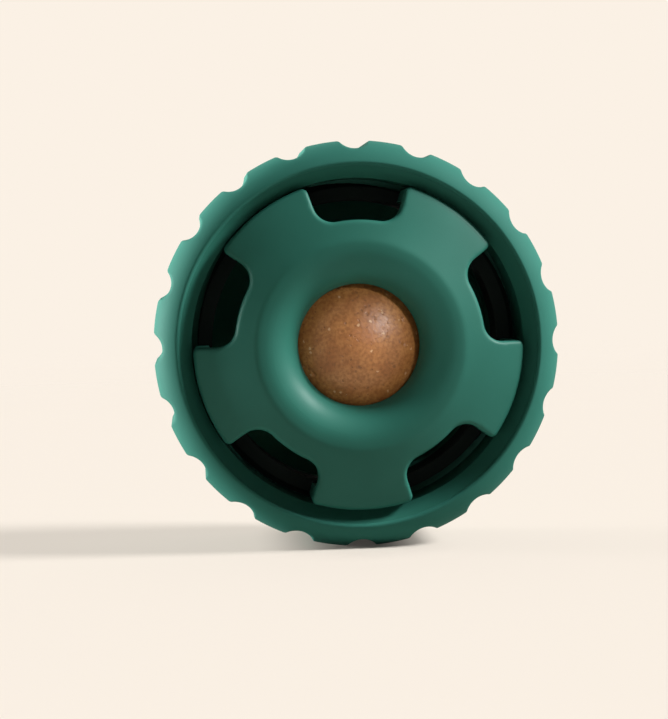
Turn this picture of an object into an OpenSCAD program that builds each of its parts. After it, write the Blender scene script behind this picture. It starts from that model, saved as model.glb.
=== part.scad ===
// Treat dispensing dog toy: a rubber wheel that unscrews into two halves
// and holds a round treat between the mouths of its two domed shells.
// The toy's axle line is the Y axis, the cap faces -Y, and +Z is up.
// Pieces are drawn along Z with the cap towards +Z, then turned by lay_on_tread().

/* [Tread ring] */
// Diameter of the whole toy over the tread blocks
toy_d = 110; // [104:1:125]
// Width of the tread ring along the axle line
tread_w = 43; // [40:0.5:50]
// Thickness of the tread ring from its bore to the top of a block
tread_t = 7; // [6.5:0.1:8.5]
// Rounding of the two outer edges of the tread ring
tread_edge_r = 10; // [8.5:0.5:12]
// Rounding of the lip around the bore
lip_r = 0.8; // [0.4:0.1:3]
// Number of blocks around the tread
block_count = 20; // [14:1:24]
// Depth of the notch between two blocks
notch_depth = 2.4; // [1.5:0.1:3.5]
// Radius of the round bottom of a notch
notch_r = 4.7; // [3:0.1:6]

/* [Threaded collars] */
// Wall of the body's collar between its bore and the tread ring
collar_t = 3.2; // [2:0.1:5]
// How far the body's collar stops short of the ring's front lip
collar_sink = 1; // [0.5:0.5:4]
// Wall left at the front edge of the collar's lead-in cone
collar_rim_t = 0.6; // [0.4:0.1:1.5]
// Depth of that lead-in cone
lead_in_h = 4; // [2:0.5:9]
// Wall of the cap's collar under its thread
cap_collar_t = 3.6; // [2.5:0.1:5]
// Number of thread starts
thread_starts = 3; // [2:1:3]
// Lift of the cap in one whole turn
thread_lead = 12; // [10:0.5:15]
// Height of a thread ridge
thread_depth = 1.6; // [1:0.1:2]
// Climb of one thread ridge from its start to its end
thread_climb = 7.5; // [6:0.5:9]
// Clearance between a ridge's crest and the facing wall
thread_gap = 0.4; // [0.35:0.05:0.7]
// Clearance between two facing ridge flanks
flank_gap = 0.3; // [0.25:0.05:0.5]
// Height of the tongue that the cap's shell is moulded over
tongue_h = 4; // [2:0.5:6]
// Thickness of that tongue
tongue_t = 2; // [1.2:0.1:2.6]

/* [Shells] */
// How far the edge of a dome lies below the ring's lip
edge_sink = 1; // [0:0.5:3]
// Rise of a dome from its edge to its crest
dome_rise = 6.5; // [5.5:0.5:9]
// Diameter of the crest around the mouth
crest_d = 53; // [48:1:58]
// Rounding of the crest towards the mouth, as far as the mouth leaves room for it
crest_r = 9.5; // [6:0.5:10]
// Rounding of the crest towards the dome's edge
crest_out_r = 3.5; // [2:0.5:6]
// Width of the flat land on the crest that the toy can lie on
land_w = 1.2; // [0.6:0.1:2]
// Thickness of a dome
dome_t = 4; // [3:0.5:5.5]
// Thickness of the web between the crest and the chamber
web_t = 8; // [6:0.5:9]
// Thickness of the legs that carry a dome
leg_t = 4.4; // [4:0.1:5.5]
// Thickness of the flange that joins the body's shell to the ring
flange_t = 6; // [4:0.5:8]
// Diameter of the mouth that shows the treat
mouth_d = 32.8; // [28:0.2:36]
// Straight throat above the treat's seat
throat_h = 1; // [0.5:0.5:3]
// Diameter at which the treat's seat ends
seat_d = 41; // [39:0.5:43]
// Thickness of the rim around the treat's seat
seat_rim_t = 3; // [2:0.5:4]

/* [Slots] */
// Number of slots in each dome
slot_count = 5; // [3:1:6]
// Angle between the two sides of a slot in the cap
slot_angle = 35.4; // [28:0.2:40]
// Angle between the two sides of a slot in the body
back_slot_angle = 24; // [18:0.2:40]
// Reach of a slot from the dome's edge towards the mouth
slot_reach = 11; // [7:0.2:13]
// Rounding of a slot's inner corners
slot_corner_r = 5.4; // [3:0.2:6]

/* [Treat] */
// Diameter of the treat ball
treat_d = 48; // [46.5:0.5:49.5]
// Clearance between the treat and its seats
seat_gap = 0.3; // [0.2:0.05:0.6]

/* [Hidden] */
$fn = 96;

rubber_green = [0.10, 0.33, 0.28];
tread_green = [0.14, 0.39, 0.34];
nylon_green = [0.09, 0.29, 0.24];
nylon_black = [0.03, 0.05, 0.045];
treat_brown = [0.45, 0.28, 0.14];

// Tool overrun of a cut past the face that it opens
over = 1;
// Depth to which a thread ridge is rooted in its wall
ridge_root = 0.4;
// Angle between two sections of a thread ridge
ridge_step = 7.5;
// Sections over which a ridge runs out at each end
runout = 4;
// Share of a ridge's height that is left at its very end
runout_end = 0.2;
// Share of a ridge's mid width that its crest is narrower and its root wider
flank_slope = 0.3;
// Share of a dome's mean slope at which the crest rounding gives way to the dome
crest_blend = 0.9;
// Number of points on a rounded stretch of an outline
arc_steps = 10;

// Radii from the tread inwards
toy_r = toy_d / 2;
half_w = tread_w / 2;
ring_bore_r = toy_r - tread_t;
collar_bore_r = ring_bore_r - collar_t;
cap_r = collar_bore_r - thread_gap;
cap_root_r = cap_r - thread_depth;
cap_collar_bore_r = cap_root_r - cap_collar_t;
leg_bore_r = cap_r - leg_t;
tongue_mid_r = (cap_r + leg_bore_r) / 2;
slot_inner_r = cap_r - slot_reach;
crest_mid_r = crest_d / 2;
mouth_r = mouth_d / 2;
seat_end_r = seat_d / 2;
seat_r = treat_d / 2 + seat_gap;

// Places along the axle line, from the middle of the tread to the cap's side
edge_z = half_w - edge_sink;
crest_z = edge_z + dome_rise;
mouth_z = sqrt(seat_r * seat_r - mouth_r * mouth_r);
seat_end_z = sqrt(seat_r * seat_r - seat_end_r * seat_end_r);
throat_z = mouth_z + throat_h;
collar_front_z = half_w - collar_sink;

// One side of the tread ring's outline, from its bore over the lip to the tread
lip = [ring_bore_r + lip_r, half_w - lip_r];
lip_out = tread_edge_r - tread_t + lip_r;
lip_up = sqrt(pow(tread_edge_r - lip_r, 2) - lip_out * lip_out);
lip_turn = atan2(lip_up, lip_out);
ring_edge = concat(
    arc_points(lip, lip_r, 180, lip_turn),
    arc_points(lip - [lip_out, lip_up], tread_edge_r, lip_turn, 0)
);

// The thread sits about the middle of the tread, with the collars built around it
thread_pitch = thread_lead / thread_starts;
ridge_mid_w = thread_pitch / 2 - flank_gap;
ridge_base_w = ridge_mid_w * (1 + flank_slope);
ridge_crest_w = ridge_mid_w * (1 - flank_slope);
thread_low_z = -thread_climb / 2;
thread_high_z = thread_climb / 2;
collar_seat_z = thread_low_z - thread_pitch / 2;
thread_top_z = thread_high_z + thread_pitch / 2;
cap_collar_z = collar_seat_z + flank_gap;
cap_collar_top_z = thread_top_z + flank_gap;
flange_z = collar_seat_z - flange_t;

// The dome's outer line: crest land, crest rounding, then a bow down to its edge
crest_out = [crest_mid_r + land_w / 2, crest_z - crest_out_r];
bell_r = min(crest_r, crest_mid_r - land_w / 2 - mouth_r);
crest_in = [crest_mid_r - land_w / 2, crest_z - bell_r];
dome_edge = [cap_r, edge_z];
crest_slope = crest_blend * atan2(dome_rise, cap_r - crest_mid_r);
dome_top = crest_out + crest_out_r * [sin(crest_slope), cos(crest_slope)];
dome_mean = atan2(dome_top[1] - edge_z, cap_r - dome_top[0]);
edge_slope = 2 * dome_mean - crest_slope;
bow_run = (dome_top[1] - edge_z - (cap_r - dome_top[0]) * tan(edge_slope))
          / (tan(crest_slope) - tan(edge_slope));
dome_bow = dome_top + bow_run * [1, -tan(crest_slope)];
dome_line = [for (i = [0 : arc_steps]) bow_point(dome_top, dome_bow, dome_edge, i / arc_steps)];

// The bell-shaped funnel from the crest to the throat, tangent to the crest rounding
throat = [mouth_r, throat_z];
throat_away = throat - crest_in;
throat_turn = (360 + atan2(throat_away[1], throat_away[0])) % 360;
funnel_angle = throat_turn - acos(bell_r / norm(throat_away));
dome_drop = dome_t / cos(dome_mean);
web_r = crest_mid_r + land_w;

// A point on a curve bent from one end to the other by a middle point
function bow_point(from, by, to, t) =
    (1 - t) * (1 - t) * from + 2 * t * (1 - t) * by + t * t * to;

// Points on a circle from one angle to another
function arc_points(centre, r, from, to) =
    [for (i = [0 : arc_steps]) let (a = from + (to - from) * i / arc_steps)
        centre + r * [cos(a), sin(a)]];

// The same outline on the other side of the tread, in the opposite order
function flipped(points) =
    [for (i = [len(points) - 1 : -1 : 0]) [points[i][0], -points[i][1]]];

// Height of the dome's under face at a radius
function under_z(r) = lookup(r, dome_line) - dome_drop;

// Half outline of a domed shell, from its legs over the crest to the treat's seat
function shell_outline(foot_z) = concat(
    [[leg_bore_r, foot_z], [cap_r, foot_z]],
    [for (i = [arc_steps : -1 : 0]) dome_line[i]],
    arc_points(crest_out, crest_out_r, 90 - crest_slope, 90),
    arc_points(crest_in, bell_r, 90, funnel_angle),
    [throat],
    arc_points([0, 0], seat_r, atan2(mouth_z, mouth_r), atan2(seat_end_z, seat_end_r)),
    [[seat_end_r + seat_rim_t, seat_end_z], [seat_end_r + seat_rim_t, mouth_z]],
    [[web_r, crest_z - web_t], [dome_top[0], under_z(dome_top[0])]],
    [for (i = [1 : arc_steps - 1]) let (r = dome_top[0] + (leg_bore_r - dome_top[0]) * i / arc_steps)
        [r, under_z(r)]],
    [[leg_bore_r, under_z(leg_bore_r)]]
);

// Turns a piece drawn along Z so that its axle line lies along Y and the cap faces -Y
module lay_on_tread() {
    rotate([90, 0, 0]) children();
}

// Plan of one slot: a sector open at the dome's edge, with round inner corners
module slot_plan(angle) {
    half = angle / 2;
    corner_at = slot_inner_r + slot_corner_r;
    corner_angle = half - asin(slot_corner_r / corner_at);
    side_at = sqrt(corner_at * corner_at - slot_corner_r * slot_corner_r);
    far = toy_r + over;
    for (side = [-1, 1])
        rotate(side * corner_angle) translate([corner_at, 0]) circle(slot_corner_r);
    polygon([side_at * [cos(half), -sin(half)], far * [cos(half), -sin(half)],
             far * [cos(half), sin(half)], side_at * [cos(half), sin(half)]]);
    difference() {
        polygon([[0, 0], far * [cos(corner_angle), -sin(corner_angle)],
                 far * [cos(corner_angle), sin(corner_angle)]]);
        circle(slot_inner_r);
    }
}

// All the slots of a shell, cut from a height upwards, with the first one at a turn from the X axis
module slots(from_z, first, angle) {
    for (i = [0 : slot_count - 1])
        rotate(first + i * 360 / slot_count)
            translate([0, 0, from_z]) linear_extrude(crest_z + over - from_z) slot_plan(angle);
}

// A helical ridge on a wall of a radius, standing out (side 1) or in (side -1)
module ridge(wall_r, side, first) {
    count = round(thread_climb / thread_lead * 360 / ridge_step);
    root_r = wall_r - side * ridge_root;
    points = [for (i = [0 : count])
        let (a = first + i * ridge_step,
             z = thread_low_z + i * ridge_step / 360 * thread_lead,
             end = min(i, count - i) / runout,
             height = thread_depth * min(1, runout_end + (1 - runout_end) * end),
             top_r = wall_r + side * height,
             base = ridge_base_w / 2,
             crest = ridge_base_w / 2 + (ridge_crest_w - ridge_base_w) / 2 * height / thread_depth)
        for (corner = [[root_r, -base], [top_r, -crest], [top_r, crest], [root_r, base]])
            [corner[0] * cos(a), corner[0] * sin(a), z + corner[1]]];
    sides = [for (i = [0 : count - 1], j = [0 : 3])
        let (p = 4 * i + j, q = 4 * i + (j + 1) % 4)
        each [[p, q, q + 4], [p, q + 4, p + 4]]];
    last = 4 * count;
    ends = [[0, 2, 1], [0, 3, 2], [last, last + 1, last + 2], [last, last + 2, last + 3]];
    faces = concat(sides, ends);
    polyhedron(points, side > 0 ? faces : [for (f = faces) [f[2], f[1], f[0]]]);
}

// The ridges of a whole thread, with the first one starting at an angle
module thread(wall_r, side, first) {
    for (i = [0 : thread_starts - 1])
        ridge(wall_r, side, first + i * 360 / thread_starts);
}

// Tongue on the cap's collar and, as a cut, the groove in the shell's legs
module tongue() {
    translate([0, 0, cap_collar_top_z]) difference() {
        cylinder(h = tongue_h, r = tongue_mid_r + tongue_t / 2);
        translate([0, 0, -over])
            cylinder(h = tongue_h + 2 * over, r = tongue_mid_r - tongue_t / 2);
    }
}

// Rubber tyre with notches across its whole width
module tread_ring() {
    color(tread_green) lay_on_tread() difference() {
        rotate_extrude() polygon(concat(ring_edge, flipped(ring_edge)));
        for (i = [0 : block_count - 1])
            rotate(90 + i * 360 / block_count)
                translate([toy_r - notch_depth + notch_r, 0, -half_w - over])
                    cylinder(h = tread_w + 2 * over, r = notch_r);
    }
}

// Nylon collar bonded in the ring's bore, with the inner thread and a lead-in cone
module body_thread_collar() {
    color(nylon_green) lay_on_tread() union() {
        rotate_extrude() polygon([
            [collar_bore_r, collar_seat_z], [ring_bore_r, collar_seat_z],
            [ring_bore_r, collar_front_z], [ring_bore_r - collar_rim_t, collar_front_z],
            [collar_bore_r, collar_front_z - lead_in_h]
        ]);
        thread(collar_bore_r, -1, 0);
    }
}

// Rubber back shell, bonded by its flange to the ring and the body's collar
module body_shell() {
    color(rubber_green) lay_on_tread() mirror([0, 0, 1]) union() {
        difference() {
            rotate_extrude() polygon(shell_outline(-collar_seat_z));
            slots(-flange_z, 90 + 180 / slot_count, back_slot_angle);
        }
        rotate_extrude() translate([leg_bore_r, -collar_seat_z])
            square([ring_bore_r - leg_bore_r, flange_t]);
    }
}

// Frozen treat, loose between the two seats
module treat_ball() {
    color(treat_brown) sphere(d = treat_d);
}

// Nylon collar moulded into the cap's legs, with the outer thread
module cap_thread_collar() {
    color(nylon_black) lay_on_tread() union() {
        rotate_extrude() translate([cap_collar_bore_r, cap_collar_z])
            square([cap_collar_t, cap_collar_top_z - cap_collar_z]);
        thread(cap_root_r, 1, 180 / thread_starts);
        difference() {
            tongue();
            slots(cap_collar_top_z, 90, slot_angle);
        }
    }
}

// Rubber front shell of the cap
module cap_shell() {
    color(rubber_green) lay_on_tread() difference() {
        rotate_extrude() polygon(shell_outline(cap_collar_top_z));
        slots(cap_collar_top_z - over, 90, slot_angle);
        tongue();
    }
}

tread_ring();
body_thread_collar();
body_shell();
treat_ball();
cap_thread_collar();
cap_shell();
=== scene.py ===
# A treat dispensing dog toy: a rubber wheel that unscrews into two halves and holds a round treat.
# The axle line is the Y axis, the cap faces -Y, and the toy stands on its tread with +Z up.
import math

import bmesh
import bpy
import numpy as np
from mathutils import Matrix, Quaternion, Vector
from mathutils.geometry import delaunay_2d_cdt


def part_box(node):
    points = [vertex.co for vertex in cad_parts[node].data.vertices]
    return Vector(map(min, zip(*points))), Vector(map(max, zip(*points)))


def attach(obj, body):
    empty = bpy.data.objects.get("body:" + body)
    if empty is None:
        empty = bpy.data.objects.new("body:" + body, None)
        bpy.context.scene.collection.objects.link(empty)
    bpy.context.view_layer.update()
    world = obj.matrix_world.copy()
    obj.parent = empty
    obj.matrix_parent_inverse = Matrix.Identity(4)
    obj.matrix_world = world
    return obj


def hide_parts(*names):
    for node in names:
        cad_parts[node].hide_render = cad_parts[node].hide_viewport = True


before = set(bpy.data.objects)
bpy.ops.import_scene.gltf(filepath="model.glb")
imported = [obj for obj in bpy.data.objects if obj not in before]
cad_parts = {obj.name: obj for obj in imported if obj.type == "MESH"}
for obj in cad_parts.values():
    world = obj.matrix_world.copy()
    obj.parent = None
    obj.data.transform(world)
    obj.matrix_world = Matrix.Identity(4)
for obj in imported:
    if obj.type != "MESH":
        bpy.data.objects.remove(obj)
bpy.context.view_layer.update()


# Tread ring
# A tyre of natural rubber, cast in one piece, with round-bottomed notches between its blocks.
# Its outer edges are well rounded, and a small lip runs around its bore.
mm = 0.001
block_count = 20
tread_edge_r = 10.0 * mm
lip_r = 0.8 * mm
notch_depth = 2.4 * mm
notch_r = 4.7 * mm
block_corner_r = 1.3 * mm
notch_edge_blend = 0.8 * mm
lip_steps = 10
edge_steps = 24
notch_columns = 9
block_columns = 6
weld = 0.005 * mm

ring_radii = [math.hypot(v.co.x, v.co.z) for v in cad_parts["tread_ring"].data.vertices]
toy_r = max(ring_radii)
ring_bore_r = min(ring_radii)
ring_half_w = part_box("tread_ring")[1].y


def on_axle(r, angle, h):
    """Point at a radius and an angle around the axle line, h towards the cap's side."""
    return (r * math.cos(angle), -h, r * math.sin(angle))


def arc(centre, radius, start, end, steps):
    """Points along a circle from one angle to another, both in degrees."""
    turns = [math.radians(start + (end - start) * i / steps) for i in range(steps + 1)]
    return [(centre[0] + radius * math.cos(t), centre[1] + radius * math.sin(t)) for t in turns]


def soft_min(a, b, blend):
    """The smaller of two lengths, with the corner between them rounded over a blend length."""
    return min(a, b) - max(blend - abs(a - b), 0) ** 2 / (4 * blend)


def band_faces(columns, width, start=0):
    """Quads that join columns of points, where each column is a closed outline of that many points."""
    faces = []
    for i in range(columns - 1):
        for j in range(width):
            low, high = start + i * width, start + (i + 1) * width
            after = (j + 1) % width
            faces.append((low + j, low + after, high + after, high + j))
    return faces


def new_object(name, points, faces):
    """Object in the scene with a mesh of these points and faces."""
    mesh = bpy.data.meshes.new(name)
    mesh.from_pydata(points, [], faces)
    made = bpy.data.objects.new(name, mesh)
    bpy.context.scene.collection.objects.link(made)
    return made


def add(tree, kind, inputs=None, **settings):
    """New node of a kind, with its settings, and with its inputs set or linked by socket name or number."""
    node = tree.nodes.new(kind)
    for name, value in settings.items():
        setattr(node, name, value)
    for name, value in (inputs or {}).items():
        if isinstance(value, bpy.types.NodeSocket):
            tree.links.new(value, node.inputs[name])
        else:
            node.inputs[name].default_value = value
    return node


def calculate(tree, operation, *values):
    """Output of a maths node that works on numbers or on other outputs."""
    return add(tree, "ShaderNodeMath", dict(enumerate(values)), operation=operation).outputs[0]


def mix_colour(tree, share, under, over):
    """Colour that goes from one to another by a share."""
    return add(tree, "ShaderNodeMix", {0: share, 6: under, 7: over}, data_type="RGBA").outputs[2]


def new_group(name, kind, inputs, outputs):
    """Empty node tree with named inputs and outputs, each given as a name and a socket type."""
    tree = bpy.data.node_groups.new(name, kind)
    for socket, socket_kind in inputs.items():
        tree.interface.new_socket(socket, in_out="INPUT", socket_type="NodeSocket" + socket_kind)
    for socket, socket_kind in outputs.items():
        tree.interface.new_socket(socket, in_out="OUTPUT", socket_type="NodeSocket" + socket_kind)
    return tree


def make_axle_repeat():
    """Node tree that repeats one stretch of a moulding around the axle line and welds the copies."""
    sizes = {"Stretch": "Geometry", "Count": "Int", "Weld": "Float", "Material": "Material"}
    tree = new_group("repeat_around_axle", "GeometryNodeTree", sizes, {"Moulding": "Geometry"})
    given = add(tree, "NodeGroupInput").outputs
    index = add(tree, "GeometryNodeInputIndex").outputs[0]
    step = calculate(tree, "DIVIDE", math.tau, given["Count"])
    angle = calculate(tree, "MULTIPLY", index, step)
    turn = add(tree, "FunctionNodeAxisAngleToRotation", {"Axis": (0, 1, 0), "Angle": angle}).outputs[0]
    points = add(tree, "GeometryNodePoints", {"Count": given["Count"]}).outputs[0]
    copies = add(tree, "GeometryNodeInstanceOnPoints",
                 {"Points": points, "Instance": given["Stretch"], "Rotation": turn}).outputs[0]
    whole = add(tree, "GeometryNodeRealizeInstances", {"Geometry": copies}).outputs[0]
    welded = add(tree, "GeometryNodeMergeByDistance",
                 {"Geometry": whole, "Distance": given["Weld"]}).outputs[0]
    dressed = add(tree, "GeometryNodeSetMaterial", {"Geometry": welded, "Material": given["Material"]})
    add(tree, "NodeGroupOutput", {"Moulding": dressed.outputs[0]})
    return tree


axle_repeat = make_axle_repeat()


def grow(made, tree, inputs):
    """Runs a node tree on an object with these named inputs and keeps the result as its plain mesh."""
    modifier = made.modifiers.new(tree.name, "NODES")
    modifier.node_group = tree
    for socket in tree.interface.items_tree:
        if socket.name in inputs:
            modifier[socket.identifier] = inputs[socket.name]
    depsgraph = bpy.context.evaluated_depsgraph_get()
    mesh = bpy.data.meshes.new_from_object(
        made.evaluated_get(depsgraph), preserve_all_data_layers=True, depsgraph=depsgraph)
    made.modifiers.remove(modifier)
    made.data = mesh


def smooth_outwards(made, sharp_deg):
    """Turns a closed mesh's faces outwards and smooths it, apart from edges sharper than an angle."""
    shape = bmesh.new()
    shape.from_mesh(made.data)
    bmesh.ops.recalc_face_normals(shape, faces=shape.faces)
    shape.to_mesh(made.data)
    shape.free()
    made.data.shade_smooth()
    made.data.set_sharp_from_angle(angle=math.radians(sharp_deg))


patch_low = 0.3
patch_high = 0.7


def make_moulded_finish():
    """Shader group for a moulded surface: soft patches of shade and of gloss, and a fine grain."""
    sizes = {"Colour": "Color", "Shade": "Color", "Patch Scale": "Float", "Grain Scale": "Float",
             "Roughness Low": "Float", "Roughness High": "Float"}
    tree = new_group("moulded_finish", "ShaderNodeTree", sizes,
                     {"Colour": "Color", "Roughness": "Float", "Grain": "Float"})
    given = add(tree, "NodeGroupInput").outputs
    place = add(tree, "ShaderNodeTexCoord").outputs["Object"]
    patches = add(tree, "ShaderNodeTexNoise",
                  {"Vector": place, "Scale": given["Patch Scale"], "Detail": 3.0}).outputs[0]
    share = add(tree, "ShaderNodeMapRange",
                {"Value": patches, "From Min": patch_low, "From Max": patch_high}).outputs[0]
    colour = mix_colour(tree, share, given["Colour"], given["Shade"])
    grain = add(tree, "ShaderNodeTexNoise",
                {"Vector": place, "Scale": given["Grain Scale"], "Detail": 2.0}).outputs[0]
    gloss = add(tree, "ShaderNodeMapRange",
                {"Value": patches, "From Min": patch_low, "From Max": patch_high,
                 "To Min": given["Roughness Low"], "To Max": given["Roughness High"]}).outputs[0]
    add(tree, "NodeGroupOutput", {"Colour": colour, "Roughness": gloss, "Grain": grain})
    return tree


moulded_finish = make_moulded_finish()


def new_material(name):
    """Empty node material, its tree and its Principled shader, already linked to the output."""
    material = bpy.data.materials.new(name)
    material.use_nodes = True
    tree = material.node_tree
    tree.nodes.clear()
    shader = add(tree, "ShaderNodeBsdfPrincipled")
    add(tree, "ShaderNodeOutputMaterial", {"Surface": shader.outputs[0]})
    return material, tree, shader


patch_scale = 55.0
grain_scale = 2600.0
grain_strength = 0.5


def moulded_material(name, colour, shade, roughness, specular, grain_height):
    """Material of a moulded piece, from its two shades, its gloss and its grain."""
    material, tree, shader = new_material(name)
    shader.inputs["Specular IOR Level"].default_value = specular
    finish = add(tree, "ShaderNodeGroup", node_tree=moulded_finish)
    values = {"Colour": (*colour, 1), "Shade": (*shade, 1), "Patch Scale": patch_scale,
              "Grain Scale": grain_scale, "Roughness Low": roughness[0], "Roughness High": roughness[1]}
    for socket, value in values.items():
        finish.inputs[socket].default_value = value
    bump = add(tree, "ShaderNodeBump", {"Strength": grain_strength, "Distance": grain_height,
                                        "Height": finish.outputs["Grain"]})
    tree.links.new(finish.outputs["Colour"], shader.inputs["Base Color"])
    tree.links.new(finish.outputs["Roughness"], shader.inputs["Roughness"])
    tree.links.new(bump.outputs[0], shader.inputs["Normal"])
    return material


# The tyre's rubber is a little lighter than the shells' rubber: partly a lighter moulding, and partly
# painted light that brightens the tyre.
tread_rubber = moulded_material("tread_rubber", colour=(0.027, 0.143, 0.111), shade=(0.024, 0.132, 0.101),
                                roughness=(0.66, 0.72), specular=0.08, grain_height=0.03 * mm)

lip = (ring_bore_r + lip_r, ring_half_w - lip_r)
lip_out = tread_edge_r - (toy_r - ring_bore_r) + lip_r
lip_up = math.sqrt((tread_edge_r - lip_r) ** 2 - lip_out ** 2)
lip_turn = math.degrees(math.atan2(lip_up, lip_out))
edge_mid = (lip[0] - lip_out, lip[1] - lip_up)
ring_front = [(ring_bore_r, 0.0)]
ring_front += arc(lip, lip_r, 180, lip_turn, lip_steps)
ring_front += arc(edge_mid, tread_edge_r, lip_turn, 0, edge_steps)[1:]
ring_front += [(toy_r, 0.0)]
ring_back = [(r, -h) for r, h in reversed(ring_front[1:-1])]
ring_outline = ring_front + ring_back

# A notch's round floor runs into the block through a rounded corner
notch_at = toy_r - notch_depth + notch_r
block_corner_at = toy_r - block_corner_r
corner_away = notch_r + block_corner_r
corner_cos = (block_corner_at ** 2 + notch_at ** 2 - corner_away ** 2) / (2 * block_corner_at * notch_at)
corner_turn = math.acos(corner_cos)
corner_share = notch_r / corner_away
touch_across = corner_share * block_corner_at * math.sin(corner_turn)
touch_out = notch_at + corner_share * (block_corner_at * math.cos(corner_turn) - notch_at)
floor_turn = math.atan2(touch_across, touch_out)
block_half = math.pi / block_count


def notch_line(angle):
    """Radius of the tread at an angle from a notch's middle."""
    if angle < floor_turn:
        return notch_at * math.cos(angle) - math.sqrt(notch_r ** 2 - (notch_at * math.sin(angle)) ** 2)
    if angle < corner_turn:
        off = corner_turn - angle
        across = block_corner_at * math.sin(off)
        return block_corner_at * math.cos(off) + math.sqrt(block_corner_r ** 2 - across ** 2)
    return toy_r


def tread_radius(r, angle):
    """Radius of a point of the ring's outline, cut back where a notch lies, at an angle from its middle."""
    line = notch_line(abs(angle))
    blend = min(notch_edge_blend, toy_r - line)
    return soft_min(r, line, blend) if blend > weld else min(r, line)


half_angles = [*np.linspace(0, floor_turn, notch_columns),
               *np.linspace(floor_turn, corner_turn, notch_columns)[1:],
               *np.linspace(corner_turn, block_half, block_columns)[1:]]
ring_angles = [-a for a in reversed(half_angles[1:])] + half_angles
ring_points = [on_axle(tread_radius(r, a), a + math.pi / 2, h)
               for a in ring_angles for r, h in ring_outline]

tread_piece = new_object("rubber_tread", ring_points, band_faces(len(ring_angles), len(ring_outline)))
grow(tread_piece, axle_repeat, {"Count": block_count, "Weld": weld, "Material": tread_rubber})
smooth_outwards(tread_piece, sharp_deg=50)
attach(tread_piece, "body")
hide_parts("tread_ring")


# Threaded collars
# Two stiff nylon rings, because soft rubber alone can't hold a thread. One is bonded in the ring's bore
# and ends in a lead-in cone that shows inside the lip, and the other is moulded into the cap's legs.
thread_starts = 3
thread_lead = 12.0 * mm
thread_climb = 7.5 * mm
thread_depth = 1.6 * mm
ridge_base_w = 2.2 * mm
ridge_crest_w = 1.2 * mm
ridge_root = 0.4 * mm
ridge_sections = 46
runout_sections = 6
runout_share = 0.2
collar_t = 3.2 * mm
lead_in = 4.0 * mm
cap_collar_t = 3.6 * mm
thread_gap = 0.4 * mm
collar_columns = 41

collar_low, collar_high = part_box("body_thread_collar")
collar_front_h, collar_seat_h = -collar_low.y, -collar_high.y
collar_bore_r = ring_bore_r - collar_t
cap_r = collar_bore_r - thread_gap
cap_root_r = cap_r - thread_depth
cap_foot_h = -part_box("cap_shell")[1].y
cap_collar_low_h = -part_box("cap_thread_collar")[1].y

green_nylon = moulded_material("green_nylon", colour=(0.024, 0.13, 0.098), shade=(0.021, 0.12, 0.09),
                               roughness=(0.5, 0.56), specular=0.12, grain_height=0.02 * mm)
# The cap's collar is near black: partly black nylon, and partly painted shade that keeps the slots dark
# inside.
black_nylon = moulded_material("black_nylon", colour=(0.004, 0.009, 0.008), shade=(0.003, 0.008, 0.007),
                               roughness=(0.6, 0.7), specular=0.1, grain_height=0.02 * mm)


def thread_ridge(wall_r, side, first):
    """Columns of a thread ridge that climbs along a wall, standing out (side 1) or in (side -1)."""
    columns = []
    for i in range(ridge_sections + 1):
        climbed = thread_climb * i / ridge_sections
        angle = first + math.tau * climbed / thread_lead
        end = min(i, ridge_sections - i) / runout_sections
        height = thread_depth * min(1.0, runout_share + (1 - runout_share) * end)
        crest = ridge_base_w + (ridge_crest_w - ridge_base_w) * height / thread_depth
        h = climbed - thread_climb / 2
        root_r, top_r = wall_r - side * ridge_root, wall_r + side * height
        section = [(root_r, -ridge_base_w), (top_r, -crest), (top_r, crest), (root_r, ridge_base_w)]
        columns.append([on_axle(r, angle, h + across / 2) for r, across in section])
    return columns


def collar(name, material, outline, wall_r, side, first):
    """A spun collar with its thread, made of one stretch for each thread start."""
    turns = np.linspace(0, math.tau / thread_starts, collar_columns)
    points = [on_axle(r, a, h) for a in turns for r, h in outline]
    faces = band_faces(collar_columns, len(outline))
    ridge = thread_ridge(wall_r, side, first)
    start = len(points)
    points += [p for column in ridge for p in column]
    faces += band_faces(len(ridge), 4, start)
    last = len(points) - 4
    faces += [(start, start + 1, start + 2, start + 3), (last, last + 1, last + 2, last + 3)]
    made = new_object(name, points, faces)
    grow(made, axle_repeat, {"Count": thread_starts, "Weld": weld, "Material": material})
    smooth_outwards(made, sharp_deg=35)
    return made


body_outline = [(collar_bore_r, collar_seat_h), (ring_bore_r, collar_seat_h),
                (ring_bore_r, collar_front_h), (collar_bore_r, collar_front_h - lead_in)]
body_collar = collar("body_collar", green_nylon, body_outline, collar_bore_r, -1, 0.0)
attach(body_collar, "body")
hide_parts("body_thread_collar")

cap_outline = [(cap_root_r - cap_collar_t, cap_collar_low_h), (cap_root_r, cap_collar_low_h),
               (cap_root_r, cap_foot_h), (cap_root_r - cap_collar_t, cap_foot_h)]
cap_collar = collar("cap_collar", black_nylon, cap_outline, cap_root_r, 1, math.pi / thread_starts)
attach(cap_collar, "cap")
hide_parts("cap_thread_collar")


# Domed shells
# Two rubber mouldings: the cap's dome in front and the body's dome behind. Each has five slots that are
# open at its edge, a rounded crest and a funnel that leads to the treat, which lies in a round seat.
slot_count = 5
front_slot_half = math.radians(35.4) / 2
back_slot_half = math.radians(24.0) / 2
slot_reach = 11.0 * mm
slot_corner_r = 5.4 * mm
edge_corner_r = 1.6 * mm
edge_r = 1.1 * mm
edge_sink = 1.0 * mm
dome_t = 4.0 * mm
web_t = 8.0 * mm
leg_t = 4.4 * mm
crest_mid_r = 53.0 * mm / 2
crest_r = 9.5 * mm
crest_out_r = 3.5 * mm
land_w = 1.2 * mm
crest_blend = 0.9
mouth_r = 32.8 * mm / 2
throat_len = 1.0 * mm
seat_end_r = 41.0 * mm / 2
seat_rim_t = 3.0 * mm
seat_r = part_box("treat_ball")[1].x + 0.3 * mm
flange_t = 6.0 * mm
step = 0.03 * mm
row_gap = 0.75 * mm
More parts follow.
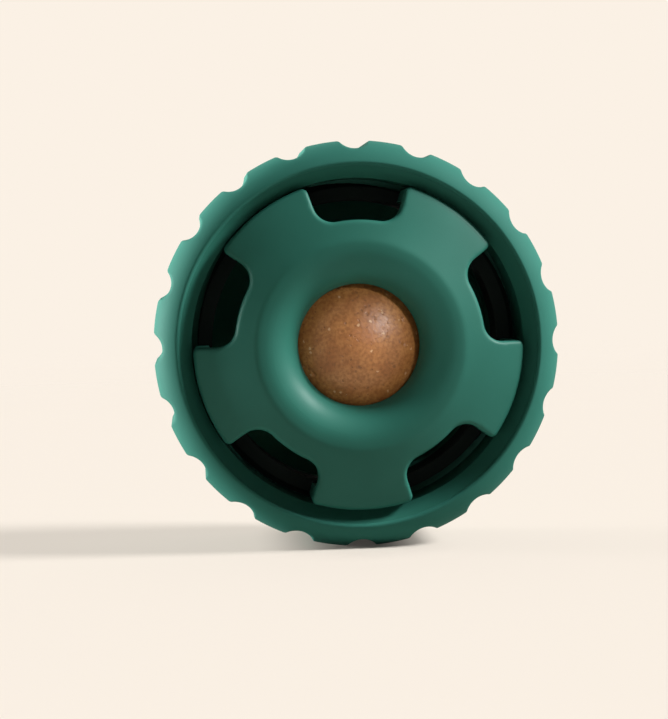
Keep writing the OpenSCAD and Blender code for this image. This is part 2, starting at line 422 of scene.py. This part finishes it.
row_clear = 0.4 * row_gap
bell_steps = 60
dome_steps = 60
crest_steps = 12
seat_points = 12
mouth_points = 19
slot_end_points = 11
slot_corner_points = 17
slot_side_points = 6
edge_corner_points = 9
leg_edge_points = 22

green_rubber = moulded_material("green_rubber", colour=(0.021, 0.133, 0.101), shade=(0.018, 0.12, 0.09),
                                roughness=(0.46, 0.54), specular=0.16, grain_height=0.03 * mm)

edge_h = ring_half_w - edge_sink
crest_h = -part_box("cap_shell")[0].y
mouth_h = math.sqrt(seat_r ** 2 - mouth_r ** 2)
seat_end_h = math.sqrt(seat_r ** 2 - seat_end_r ** 2)
leg_bore_r = cap_r - leg_t
slot_inner_r = cap_r - slot_reach
seat_rim_r = seat_end_r + seat_rim_t

# The outer line of a dome, from the throat up the funnel, over the crest and down to the edge
throat = (mouth_r, mouth_h + throat_len)
bell_r = min(crest_r, crest_mid_r - land_w / 2 - mouth_r)
crest_in = (crest_mid_r - land_w / 2, crest_h - bell_r)
crest_out = (crest_mid_r + land_w / 2, crest_h - crest_out_r)
throat_away = math.dist(throat, crest_in)
throat_turn = math.degrees(math.atan2(throat[1] - crest_in[1], throat[0] - crest_in[0])) % 360
funnel_turn = throat_turn - math.degrees(math.acos(bell_r / throat_away))
crest_slope = crest_blend * math.atan2(crest_h - edge_h, cap_r - crest_mid_r)
dome_top = (crest_out[0] + crest_out_r * math.sin(crest_slope),
            crest_out[1] + crest_out_r * math.cos(crest_slope))
dome_mean = math.atan2(dome_top[1] - edge_h, cap_r - dome_top[0])
edge_slope = 2 * dome_mean - crest_slope
bow_drop = dome_top[1] - edge_h - (cap_r - dome_top[0]) * math.tan(edge_slope)
bow_run = bow_drop / (math.tan(crest_slope) - math.tan(edge_slope))
dome_bow = (dome_top[0] + bow_run, dome_top[1] - bow_run * math.tan(crest_slope))


def dome_point(t):
    """Point of the bow from the crest's rounding down to the dome's edge."""
    shares = ((1 - t) ** 2, 2 * t * (1 - t), t ** 2)
    ends = (dome_top, dome_bow, (cap_r, edge_h))
    return tuple(sum(s * p[i] for s, p in zip(shares, ends)) for i in (0, 1))


dome_line = [dome_point(i / dome_steps) for i in range(dome_steps + 1)]
outer_line = [throat] + arc(crest_in, bell_r, funnel_turn, 90, bell_steps)
outer_line += arc(crest_out, crest_out_r, 90, 90 - math.degrees(crest_slope), crest_steps)
outer_line += dome_line[1:]
outer_r, outer_h = np.array(outer_line).T


def under_line(foot_h):
    """The inner line of a dome: the treat's seat and its rim, the under face, and the legs."""
    seat = [(r, math.sqrt(seat_r ** 2 - r ** 2)) for r in np.linspace(mouth_r, seat_end_r, seat_points)]
    drop = dome_t / math.cos(dome_mean)
    web = [(seat_rim_r - step, seat_end_h), (seat_rim_r + step, mouth_h),
           (crest_mid_r + land_w, crest_h - web_t)]
    under = [(r, h - drop) for r, h in dome_line if r < leg_bore_r - step]
    legs = [(leg_bore_r - step, float(np.interp(leg_bore_r, outer_r, outer_h)) - drop),
            (leg_bore_r + step, foot_h), (cap_r, foot_h)]
    return np.array(seat + web + under + legs).T


sector_half = math.pi / slot_count


def edge_arc(centre, radius, turns, inwards):
    """Points on an arc of a plan's edge, each with its direction into the rubber."""
    out = [np.array([math.cos(t), math.sin(t)]) for t in turns]
    return [(np.array(centre) + radius * d, inwards * d) for d in out]


def plan_edge(slot_half):
    """Edge of half a slot and half a leg in plan, where angle 0 is the middle of the slot."""
    corner_at = slot_inner_r + slot_corner_r
    corner_turn = slot_half - math.asin(slot_corner_r / corner_at)
    corner_centre = corner_at * np.array([math.cos(corner_turn), math.sin(corner_turn)])
    side_dir = np.array([math.cos(slot_half), math.sin(slot_half)])
    side_in = np.array([-side_dir[1], side_dir[0]])
    side_end = math.sqrt((cap_r - edge_corner_r) ** 2 - edge_corner_r ** 2)
    edge_centre = side_end * side_dir + edge_corner_r * side_in
    edge_turn = math.atan2(edge_centre[1], edge_centre[0])
    side_places = np.linspace(leg_bore_r, side_end, slot_side_points)[1:]
    end_turns = np.linspace(0, corner_turn, slot_end_points)
    corner_turns = np.linspace(corner_turn + math.pi, slot_half + math.pi / 2, slot_corner_points)
    edge_corner_turns = np.linspace(slot_half - math.pi / 2, edge_turn, edge_corner_points)
    leg_turns = np.linspace(edge_turn, sector_half, leg_edge_points)

    edge = edge_arc((0, 0), slot_inner_r, end_turns, -1)
    edge += edge_arc(corner_centre, slot_corner_r, corner_turns[1:], 1)
    edge += [(t * side_dir, side_in) for t in (leg_bore_r - step, leg_bore_r + step, *side_places)]
    edge += edge_arc(edge_centre, edge_corner_r, edge_corner_turns[1:], -1)
    return edge + edge_arc((0, 0), cap_r, leg_turns[1:], -1)


mouth_edge = edge_arc((0, 0), mouth_r, np.linspace(sector_half, 0, mouth_points), 1)
edge_rows = [edge_r * (1 - math.cos(math.radians(t))) for t in (15, 30, 45, 60, 75, 90)]


def sector_plan(slot_half):
    """Plan of half a sector: points, their distance to the outer edge, triangles and edge runs."""
    outer_edge = plan_edge(slot_half)
    steps = [r + d for r in (seat_rim_r, leg_bore_r) for d in (-step, step)]
    mouth_rows = [mouth_r + d for d in edge_rows]
    dome_rows = np.arange(mouth_rows[-1] + row_gap, cap_r - edge_r - row_gap / 2, row_gap)
    dome_rows = sorted([r for r in dome_rows if min(abs(r - s) for s in steps) > row_clear] + steps)
    slot_seam = mouth_rows + [r for r in dome_rows if r < slot_inner_r - edge_r - row_clear]
    slot_seam += [slot_inner_r - d for d in reversed(edge_rows)]
    leg_seam = mouth_rows + dome_rows + [cap_r - d for d in reversed(edge_rows)]
    leg_dir = np.array([math.cos(sector_half), math.sin(sector_half)])

    points = [np.array([r, 0.0]) for r in slot_seam] + [p for p, _ in outer_edge]
    points += [r * leg_dir for r in reversed(leg_seam)] + [p for p, _ in mouth_edge]
    outline = list(range(len(points)))
    mouth_start = len(points) - len(mouth_edge)
    outer_start = len(slot_seam)
    runs = [range(outer_start, outer_start + len(outer_edge) - 1), range(mouth_start, len(points) - 1)]
    edges = (outer_edge, mouth_edge)
    points += [p + d * into for edge in edges for p, into in edge[1:-1] for d in edge_rows]

    free = np.array([p for edge in edges for p, _ in edge])
    step_edges = []
    for r in dome_rows:
        kept = []
        for a in np.linspace(0, sector_half, round(r * sector_half / row_gap) + 1)[1:-1]:
            p = r * np.array([math.cos(a), math.sin(a)])
            in_slot = r > slot_inner_r and a < slot_half
            if not in_slot and np.hypot(*(free - p).T).min() > edge_r + row_clear:
                kept.append(len(points))
                points.append(p)
        if r in steps:
            step_edges += list(zip(kept, kept[1:]))
    made = delaunay_2d_cdt([Vector(p) for p in points], step_edges, [outline], 0, 1e-9)
    plan, faces, sources = made[0], made[2], made[5]
    outer = np.array([p for p, _ in outer_edge])
    away = [np.hypot(*(outer - np.array(p)).T).min() for p in plan]
    return plan, away, [f for f, source in zip(faces, sources) if source], runs


def dome_stretch(slot_half, first, side, foot_h):
    """Points and faces of a slot with half a leg on each side, in front (side 1) or behind (side -1)."""
    plan_points, plan_away, plan_faces, plan_runs = sector_plan(slot_half)
    under_r, under_h = under_line(foot_h)
    points = []
    faces = []
    size = len(plan_points)
    for hand in (1, -1):
        start = len(points)
        polar = [(math.hypot(*p), first + hand * math.atan2(p[1], p[0])) for p in plan_points]
        for (r, a), away in zip(polar, plan_away):
            drop = edge_r - math.sqrt(edge_r ** 2 - max(edge_r - away, 0) ** 2)
            points.append(on_axle(r, a, side * (float(np.interp(r, outer_r, outer_h)) - drop)))
        points += [on_axle(r, a, side * float(np.interp(r, under_r, under_h))) for r, a in polar]
        for shift in (start, start + size):
            faces += [tuple(shift + i for i in f) for f in plan_faces]
        for run in plan_runs:
            for i in run:
                over, under = start + i, start + i + size
                faces.append((over, over + 1, under + 1, under))
    return points, faces


def dome(name, slot_half, first, side, foot_h, flange=()):
    """A whole domed shell from its stretches, with a spun flange if its outline is given."""
    points, faces = dome_stretch(slot_half, first, side, foot_h)
    if flange:
        turns = np.linspace(0, math.tau / slot_count, collar_columns)
        faces += band_faces(collar_columns, len(flange), len(points))
        points += [on_axle(r, a, side * h) for a in turns for r, h in flange]
    made = new_object(name, points, faces)
    grow(made, axle_repeat, {"Count": slot_count, "Weld": weld, "Material": green_rubber})
    smooth_outwards(made, sharp_deg=50)
    return made


flange_low_h = -collar_seat_h
flange_high_h = flange_low_h + flange_t
back_foot_h = flange_low_h + flange_t / 2
flange = [(leg_bore_r, flange_low_h), (ring_bore_r, flange_low_h),
          (ring_bore_r, flange_high_h), (leg_bore_r, flange_high_h)]
back_dome = dome("back_dome", back_slot_half, math.pi / 2 + sector_half, -1, back_foot_h, flange)
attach(back_dome, "body")
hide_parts("body_shell")

front_dome = dome("front_dome", front_slot_half, math.pi / 2, 1, cap_foot_h)
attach(front_dome, "cap")
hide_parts("cap_shell")


# Treat ball
# A ball of frozen meat and meal paste, rolled round and a little moist. Its face is finely pitted, with
# light crumbs and with pores that are darkened by painted shade, and it lies loose between the two seats.
treat_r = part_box("treat_ball")[1].x
closed_pores = 0.5
open_pores = 0.9


def make_treat_tree():
    """Node tree of the treat: a ball that is pressed in by soft lumps and by scattered pores."""
    sizes = {"Radius": "Float", "Lump Depth": "Float", "Lump Scale": "Float", "Pore Depth": "Float",
             "Pore Scale": "Float", "Pore Width": "Float", "Seed": "Float", "Material": "Material"}
    tree = new_group("treat_paste", "GeometryNodeTree", {"Start": "Geometry", **sizes},
                     {"Treat": "Geometry"})
    given = add(tree, "NodeGroupInput").outputs
    ball = add(tree, "GeometryNodeMeshIcoSphere", {"Radius": given["Radius"], "Subdivisions": 7}).outputs[0]
    lumps = add(tree, "ShaderNodeTexNoise",
                {"W": given["Seed"], "Scale": given["Lump Scale"], "Detail": 2.0},
                noise_dimensions="4D").outputs[0]
    cells = add(tree, "ShaderNodeTexVoronoi", {"W": given["Seed"], "Scale": given["Pore Scale"]},
                voronoi_dimensions="4D").outputs
    near = add(tree, "ShaderNodeMapRange",
               {"Value": cells["Distance"], "From Max": given["Pore Width"], "To Min": 1.0, "To Max": 0.0},
               interpolation_type="SMOOTHSTEP").outputs[0]
    chance = add(tree, "FunctionNodeSeparateColor", {0: cells["Color"]}).outputs[0]
    open_pore = add(tree, "ShaderNodeMapRange",
                    {"Value": chance, "From Min": closed_pores, "From Max": open_pores}).outputs[0]
    pore = calculate(tree, "MULTIPLY", near, open_pore)
    sunk = calculate(tree, "MULTIPLY", lumps, given["Lump Depth"])
    depth = calculate(tree, "MULTIPLY_ADD", pore, given["Pore Depth"], sunk)
    inwards = calculate(tree, "MULTIPLY", depth, -1.0)
    normal = add(tree, "GeometryNodeInputNormal").outputs[0]
    offset = add(tree, "ShaderNodeVectorMath", {0: normal, "Scale": inwards}, operation="SCALE").outputs[0]
    marked = add(tree, "GeometryNodeStoreNamedAttribute", {"Geometry": ball, "Name": "pore", "Value": pore})
    pressed = add(tree, "GeometryNodeSetPosition",
                  {"Geometry": marked.outputs[0], "Offset": offset}).outputs[0]
    whole = add(tree, "GeometryNodeRealizeInstances", {"Geometry": pressed}).outputs[0]
    dressed = add(tree, "GeometryNodeSetMaterial", {"Geometry": whole, "Material": given["Material"]})
    add(tree, "NodeGroupOutput", {"Treat": dressed.outputs[0]})
    return tree


wobble_scale = 1900.0
wobble_size = 0.9 * mm
crowd_scale = 260.0
crowd_low = 0.35
crowd_high = 0.65


def make_specks():
    """Shader group for uneven specks, from their spacing, their size and the share of places with one."""
    sizes = {"Scale": "Float", "Size": "Float", "Share": "Float"}
    tree = new_group("specks", "ShaderNodeTree", sizes, {"Speck": "Float"})
    given = add(tree, "NodeGroupInput").outputs
    place = add(tree, "ShaderNodeTexCoord").outputs["Object"]
    wobble = add(tree, "ShaderNodeTexNoise",
                 {"Vector": place, "Scale": wobble_scale, "Detail": 2.0}).outputs["Color"]
    moved = add(tree, "ShaderNodeVectorMath", {0: wobble, 1: (wobble_size,) * 3, 2: place},
                operation="MULTIPLY_ADD").outputs[0]
    cells = add(tree, "ShaderNodeTexVoronoi", {"Vector": moved, "Scale": given["Scale"]}).outputs
    core = calculate(tree, "MULTIPLY", given["Size"], 0.5)
    near = add(tree, "ShaderNodeMapRange",
               {"Value": cells["Distance"], "From Min": given["Size"], "From Max": core}).outputs[0]
    chance = add(tree, "ShaderNodeSeparateColor", {0: cells["Color"]}).outputs[0]
    patches = add(tree, "ShaderNodeTexNoise",
                  {"Vector": place, "Scale": crowd_scale, "Detail": 1.0}).outputs[0]
    crowd = add(tree, "ShaderNodeMapRange", {"Value": patches, "From Min": crowd_low,
                                             "From Max": crowd_high, "To Max": given["Share"]}).outputs[0]
    kept = calculate(tree, "LESS_THAN", chance, crowd)
    add(tree, "NodeGroupOutput", {"Speck": calculate(tree, "MULTIPLY", near, kept)})
    return tree


specks = make_specks()


def scatter(tree, scale, size, share):
    """Mask of specks in a material, at so many places to the metre."""
    values = {"Scale": scale, "Size": size, "Share": share}
    return add(tree, "ShaderNodeGroup", values, node_tree=specks).outputs[0]


crumb_colour = (0.62, 0.40, 0.22, 1)
crumb_strength = 0.7
meal_colour = (0.20, 0.07, 0.016, 1)
meal_strength = 0.75
meal_low = 0.35
meal_high = 0.68
# The pores' darker colour is painted shade in the pits.
pore_shade_colour = (0.11, 0.04, 0.012, 1)
pore_shade_strength = 0.5
relief_height = 0.12 * mm
relief_strength = 0.6


def make_treat_paste():
    """Material of the treat: brown paste in patches, light crumbs, painted shade in the pores and a moist
    gloss.
    """
    material, tree, shader = new_material("brown_treat")
    finish = add(tree, "ShaderNodeGroup", node_tree=moulded_finish)
    values = {"Colour": (0.45, 0.20, 0.06, 1), "Shade": (0.31, 0.112, 0.026, 1), "Patch Scale": 150.0,
              "Grain Scale": 1100.0, "Roughness Low": 0.36, "Roughness High": 0.48}
    for socket, value in values.items():
        finish.inputs[socket].default_value = value
    crumb = scatter(tree, scale=620.0, size=0.3, share=0.22)
    fine_pore = scatter(tree, scale=900.0, size=0.38, share=0.28)
    wide_pore = scatter(tree, scale=420.0, size=0.26, share=0.22)
    pressed_pore = add(tree, "ShaderNodeAttribute", attribute_name="pore").outputs["Fac"]
    pore = calculate(tree, "MAXIMUM", calculate(tree, "MAXIMUM", fine_pore, wide_pore), pressed_pore)
    meal = add(tree, "ShaderNodeMapRange", {"Value": finish.outputs["Grain"], "From Min": meal_low,
                                            "From Max": meal_high, "To Max": meal_strength}).outputs[0]
    paste = mix_colour(tree, meal, finish.outputs["Colour"], meal_colour)
    crumbed = mix_colour(tree, calculate(tree, "MULTIPLY", crumb, crumb_strength), paste, crumb_colour)
    # Painted shade: the pores are darkened in the colour, on top of the dips that the bump gives them.
    pore_shaded = mix_colour(tree, calculate(tree, "MULTIPLY", pore, pore_shade_strength), crumbed, pore_shade_colour)
    relief = calculate(tree, "SUBTRACT", finish.outputs["Grain"], pore)
    bump = add(tree, "ShaderNodeBump", {"Strength": relief_strength, "Distance": relief_height,
                                        "Height": relief}).outputs[0]
    tree.links.new(pore_shaded, shader.inputs["Base Color"])
    tree.links.new(finish.outputs["Roughness"], shader.inputs["Roughness"])
    tree.links.new(bump, shader.inputs["Normal"])
    return material


brown_treat = make_treat_paste()
treat = new_object("treat", [], [])
grow(treat, make_treat_tree(), {"Radius": treat_r, "Lump Depth": 0.35 * mm, "Lump Scale": 140.0,
                                "Pore Depth": 0.3 * mm, "Pore Scale": 420.0, "Pore Width": 0.35,
                                "Seed": 4.0, "Material": brown_treat})
smooth_outwards(treat, sharp_deg=180)
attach(treat, "treat")
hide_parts("treat_ball")


# Floor and light
# A plain cream floor fades into a cream surround, which is bright behind the toy and dim in front of it.
# A key lamp stands at the upper right, a rim lamp low behind at the left, and an accent lamp lights
# the treat.
cream = (0.965, 0.880, 0.783)
floor_tint = (0.515, 0.468, 0.417)
bounce_tint = (0.42, 0.39, 0.35)
shadow_share = 0.36
contact_share = 0.95
contact_near = 0.004
contact_far = 0.03
contact_half_w = 0.016
floor_half = 2.0
fade_from = 0.45
fade_to = 1.2
fill_tint = (1.0, 0.96, 0.91)
fill_front = 0.02
fill_back = 0.75
dim_until = -0.2
bright_from = 0.5
key_strength = 7.2
key_angle = math.radians(14)
key_from = Vector((0.78, -0.12, 0.6))
rim_strength = 12.0
rim_angle = math.radians(18)
rim_from = Vector((-0.95, 0.28, 0.01))
accent_level = 0.85
accent_from = Vector((0.52, -0.75, 0.41))
accent_at = Vector((4.5 * mm, -treat_r, 3.5 * mm))
accent_away = 0.6
accent_reach = 0.016
accent_r = 0.014
accent_blend = 0.4


def seen_directly(tree):
    """Mask that is 1 for the camera, a reflection or a view through glass, and 0 for a bounce of light."""
    rays = add(tree, "ShaderNodeLightPath").outputs
    mirrored = calculate(tree, "MAXIMUM", rays["Is Glossy Ray"], rays["Is Transmission Ray"])
    return calculate(tree, "MAXIMUM", rays["Is Camera Ray"], mirrored)


floor_z = min(v.co.z for v in tread_piece.data.vertices)
corners = [(x * floor_half, y * floor_half, floor_z) for x, y in ((-1, -1), (1, -1), (1, 1), (-1, 1))]
floor = new_object("floor", corners, [(0, 1, 2, 3)])
floor_paint = bpy.data.materials.new("cream_floor")
floor_paint.use_nodes = True
floor_tree = floor_paint.node_tree
floor_tree.nodes.clear()
floor_place = add(floor_tree, "ShaderNodeTexCoord").outputs["Object"]
spot = add(floor_tree, "ShaderNodeSeparateXYZ", {0: floor_place}).outputs
along = calculate(floor_tree, "ABSOLUTE", spot["Y"])
past_end = calculate(floor_tree, "MAXIMUM", calculate(floor_tree, "SUBTRACT", along, contact_half_w), 0.0)
away = add(floor_tree, "ShaderNodeCombineXYZ", {"X": spot["X"], "Y": past_end}).outputs[0]
from_contact = add(floor_tree, "ShaderNodeVectorMath", {0: away}, operation="LENGTH").outputs["Value"]
share = add(floor_tree, "ShaderNodeMapRange",
            {"Value": from_contact, "From Min": contact_near, "From Max": contact_far,
             "To Min": 1 - contact_share, "To Max": 1 - shadow_share},
            interpolation_type="SMOOTHSTEP").outputs[0]
matt = add(floor_tree, "ShaderNodeBsdfDiffuse", {"Color": (*floor_tint, 1)}).outputs[0]
pale = add(floor_tree, "ShaderNodeEmission", {"Color": (*cream, 1)}).outputs[0]
seen = add(floor_tree, "ShaderNodeMixShader", {0: share, 1: matt, 2: pale}).outputs[0]
dim = add(floor_tree, "ShaderNodeBsdfDiffuse", {"Color": (*bounce_tint, 1)}).outputs[0]
shown = add(floor_tree, "ShaderNodeMixShader", {0: seen_directly(floor_tree), 1: dim, 2: seen}).outputs[0]
reach = add(floor_tree, "ShaderNodeVectorMath", {0: floor_place}, operation="LENGTH").outputs["Value"]
fade = add(floor_tree, "ShaderNodeMapRange", {"Value": reach, "From Min": fade_from, "From Max": fade_to},
           interpolation_type="SMOOTHSTEP").outputs[0]
clear_air = add(floor_tree, "ShaderNodeBsdfTransparent").outputs[0]
faded = add(floor_tree, "ShaderNodeMixShader", {0: fade, 1: shown, 2: clear_air}).outputs[0]
add(floor_tree, "ShaderNodeOutputMaterial", {"Surface": faded})
floor.data.materials.append(floor_paint)

world = bpy.data.worlds.new("cream_surround")
world.use_nodes = True
world_tree = world.node_tree
world_tree.nodes.clear()
facing = add(world_tree, "ShaderNodeTexCoord").outputs["Generated"]
behind = add(world_tree, "ShaderNodeSeparateXYZ", {0: facing}).outputs["Y"]
level = add(world_tree, "ShaderNodeMapRange",
            {"Value": behind, "From Min": dim_until, "From Max": bright_from,
             "To Min": fill_front, "To Max": fill_back},
            interpolation_type="SMOOTHSTEP").outputs[0]
fill = add(world_tree, "ShaderNodeBackground", {"Color": (*fill_tint, 1), "Strength": level}).outputs[0]
backdrop = add(world_tree, "ShaderNodeBackground", {"Color": (*cream, 1), "Strength": 1.0}).outputs[0]
surround = add(world_tree, "ShaderNodeMixShader",
               {0: seen_directly(world_tree), 1: fill, 2: backdrop}).outputs[0]
add(world_tree, "ShaderNodeOutputWorld", {"Surface": surround})
bpy.context.scene.world = world


def sun(name, strength, angle, source):
    """Distant light of a strength and an angular size that shines from a direction."""
    data = bpy.data.lights.new(name, "SUN")
    data.energy = strength
    data.angle = angle
    made = bpy.data.objects.new(name, data)
    made.rotation_mode = "QUATERNION"
    made.rotation_quaternion = (-source).to_track_quat("-Z", "Y")
    bpy.context.scene.collection.objects.link(made)


sun("key", key_strength, key_angle, key_from)
sun("rim", rim_strength, rim_angle, rim_from)

# A small accent lamp on the treat, set by the light that it gives there
accent_data = bpy.data.lights.new("accent", "SPOT")
accent_data.energy = accent_level * (2 * math.pi * accent_away) ** 2
accent_data.spot_size = 2 * math.atan2(accent_reach, accent_away)
accent_data.spot_blend = accent_blend
accent_data.shadow_soft_size = accent_r
accent = bpy.data.objects.new("accent", accent_data)
accent.location = accent_at + accent_away * accent_from.normalized()
accent.rotation_mode = "QUATERNION"
accent.rotation_quaternion = (-accent_from).to_track_quat("-Z", "Y")
bpy.context.scene.collection.objects.link(accent)
bpy.context.scene.view_settings.view_transform = "Standard"


# Camera
# It stands in front of the cap, a little to the left and above, and puts the middle of the tread's
# front edge where the photograph has it.
photo_w, photo_h = 668, 719
tread_px = (357.0, 343.8)
tread_radius_px = 202.6
focal_px = 1969.0
distance = focal_px * toy_r / tread_radius_px
azimuth = math.radians(-4.0)
elevation = math.radians(3.0)
roll = math.radians(-1.2)

camera_data = bpy.data.cameras.new("camera")
camera_data.sensor_width = 36.0
camera_data.lens = focal_px * camera_data.sensor_width / photo_h
camera_data.clip_start = 0.01
camera = bpy.data.objects.new("camera", camera_data)
back = Vector((math.sin(azimuth) * math.cos(elevation), -math.cos(azimuth) * math.cos(elevation),
               math.sin(elevation)))
aim = (-back).to_track_quat("-Z", "Y") @ Quaternion((0, 0, 1), roll)
pixel = distance / focal_px
off_right = (tread_px[0] - photo_w / 2) * pixel
off_down = (tread_px[1] - photo_h / 2) * pixel
tread_front = Vector((0, -edge_mid[1], 0))
target = tread_front - off_right * (aim @ Vector((1, 0, 0))) + off_down * (aim @ Vector((0, 1, 0)))
camera.rotation_mode = "QUATERNION"
camera.rotation_quaternion = aim
camera.location = target + distance * back
bpy.context.scene.collection.objects.link(camera)
bpy.context.scene.camera = camera
